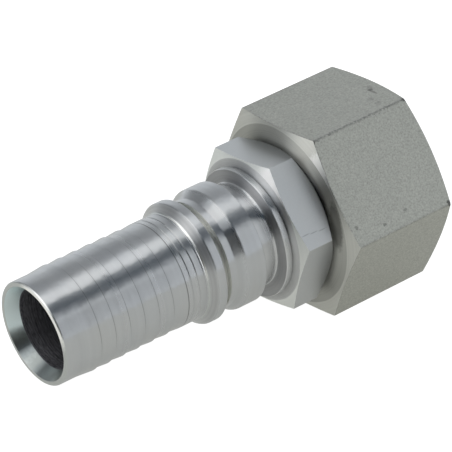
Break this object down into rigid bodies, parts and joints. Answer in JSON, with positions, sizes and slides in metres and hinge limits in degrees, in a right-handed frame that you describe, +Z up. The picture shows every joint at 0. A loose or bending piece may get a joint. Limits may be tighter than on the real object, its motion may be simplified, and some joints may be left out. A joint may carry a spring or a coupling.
{
  "type": "hose swage coupling with swivel nut",
  "caption": "Crimp-on hydraulic hose coupling: a barbed steel hose stem with ferrule collars and a spanner hexagon, and a hexagon swivel nut over its sealed cone nose.",
  "frame": {"origin": "on the floor, under the middle of the box that holds the coupling as it lies at rest", "axes": "+X from the mouth of the hose tail towards the nut, level; +Z up from the floor; the coupling's own axis lies in the XZ plane and rises towards the nut"},
  "size_m": [0.1046, 0.0532, 0.0497],
  "materials": {
    "turned_zinc_steel": "bright zinc plating over fine turning marks",
    "matte_zinc_steel": "matte, slightly grainy zinc plating on drawn hexagon bar",
    "seal_rubber": "satin black rubber"
  },
  "bodies": {
    "nut": {"swivel_nut": "matte_zinc_steel"},
    "stem": {"hose_stem": "turned_zinc_steel", "o_ring": "seal_rubber"}
  },
  "joints": [
    {"name": "swivel", "type": "hinge", "parent": "nut", "child": "stem", "pos_m": [0.0243, 0, 0.02334], "axis": [0.9895, 0, 0.1443], "continuous": true}
  ]
}
